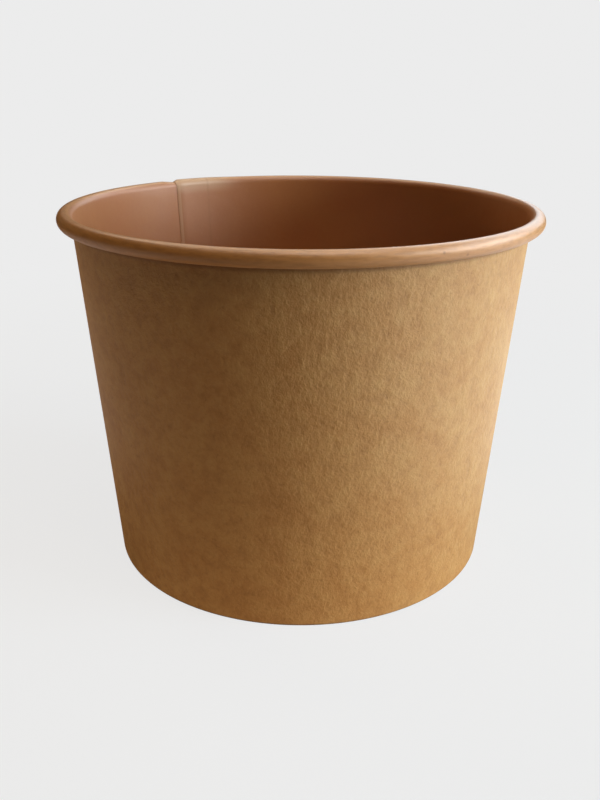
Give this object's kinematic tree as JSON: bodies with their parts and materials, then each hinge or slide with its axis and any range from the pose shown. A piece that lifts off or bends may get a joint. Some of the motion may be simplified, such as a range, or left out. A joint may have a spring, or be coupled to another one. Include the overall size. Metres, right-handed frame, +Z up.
{
  "type": "paper ice cream tub",
  "caption": "Round tapered tub of kraft paperboard with a rolled rim, a lapped side seam, a folded foot and a raised base, open at the top.",
  "frame": {"origin": "centre of the foot, on the surface that the tub stands on", "axes": "+Z up along the tub's axis, -Y towards the viewer; the lapped seam is at the back left, between +Y and -X"},
  "size_m": [0.098, 0.098, 0.0745],
  "materials": {
    "wall_board": "matte",
    "base_board": "matte"
  },
  "bodies": {
    "root": {"side_wall": "wall_board", "base_disc": "base_board"}
  },
  "joints": []
}
